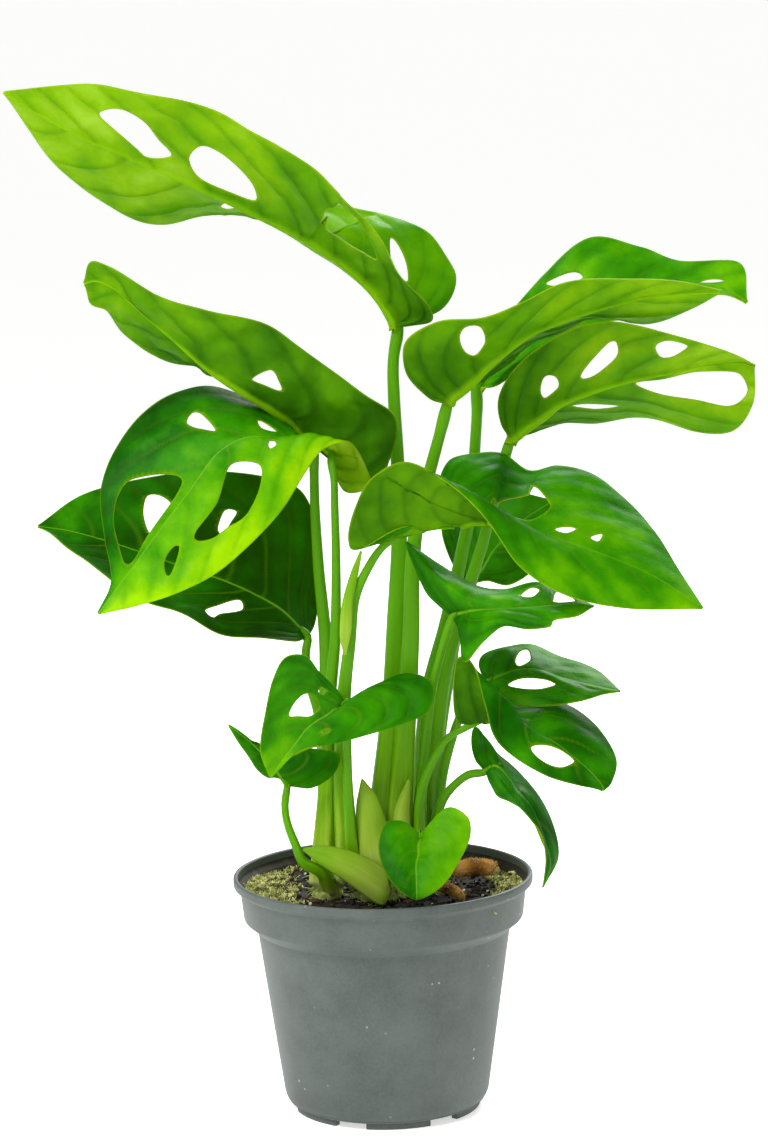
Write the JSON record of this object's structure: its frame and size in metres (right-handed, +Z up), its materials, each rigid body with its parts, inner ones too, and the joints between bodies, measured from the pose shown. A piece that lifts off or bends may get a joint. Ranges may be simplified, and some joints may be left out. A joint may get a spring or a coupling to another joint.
{
  "type": "potted monstera plant",
  "caption": "Young window-leaf monstera in a round grey nursery pot with a stepped rim band, with dark soil and lifelike holed leaves on upright petioles.",
  "frame": {"origin": "on the pot's axis, at the bottom of the centre foot that the pot stands on", "axes": "+Z up the pot's axis; -Y faces the viewer of the plant's best side; +X to that viewer's right, away from the tallest leaf"},
  "size_m": [0.2909, 0.12, 0.4106],
  "materials": {
    "pot": "satin grey moulded plastic",
    "soil": "damp dark potting mix with pale moss",
    "petiole": "smooth waxy yellow-green stalk",
    "sheath": "thin pale papery sheath",
    "root": "brown hairy root",
    "leaf_high_left": "waxy living leaf, glossy above, paler below",
    "leaf_curled_left": "waxy living leaf, glossy above, paler below",
    "leaf_windowed": "waxy living leaf, glossy above, paler below",
    "leaf_dark_left": "waxy living leaf, glossy above, paler below",
    "leaf_low_left": "waxy living leaf, glossy above, paler below",
    "leaf_lowest_left": "waxy living leaf, glossy above, paler below",
    "leaf_arching_right": "waxy living leaf, glossy above, paler below",
    "leaf_shiny_middle": "waxy living leaf, glossy above, paler below",
    "leaf_folded_right": "waxy living leaf, glossy above, paler below",
    "leaf_behind_right": "waxy living leaf, glossy above, paler below",
    "leaf_wide_right": "waxy living leaf, glossy above, paler below",
    "leaf_right_upper_small": "waxy living leaf, glossy above, paler below",
    "leaf_dark_middle": "waxy living leaf, glossy above, paler below",
    "leaf_dark_right_low": "waxy living leaf, glossy above, paler below",
    "leaf_heart_front": "waxy living leaf, glossy above, paler below",
    "leaf_drooping_right": "waxy living leaf, glossy above, paler below"
  },
  "bodies": {
    "root": {"pot": "pot", "soil": "soil", "shoot_left": "petiole", "shoot_middle": "petiole", "shoot_right": "petiole", "sheath_middle": "sheath", "sheath_right": "sheath", "sheath_fallen": "sheath", "bract": "sheath", "leaf_high_left": "leaf_high_left", "leaf_curled_left": "leaf_curled_left", "leaf_windowed": "leaf_windowed", "leaf_dark_left": "leaf_dark_left", "leaf_low_left": "leaf_low_left", "leaf_lowest_left": "leaf_lowest_left", "leaf_arching_right": "leaf_arching_right", "leaf_shiny_middle": "leaf_shiny_middle", "leaf_folded_right": "leaf_folded_right", "leaf_behind_right": "leaf_behind_right", "leaf_wide_right": "leaf_wide_right", "leaf_right_upper_small": "leaf_right_upper_small", "leaf_dark_middle": "leaf_dark_middle", "leaf_dark_right_low": "leaf_dark_right_low", "leaf_heart_front": "leaf_heart_front", "leaf_drooping_right": "leaf_drooping_right", "aerial_root_right": "root", "aerial_root_front": "root"}
  },
  "joints": []
}
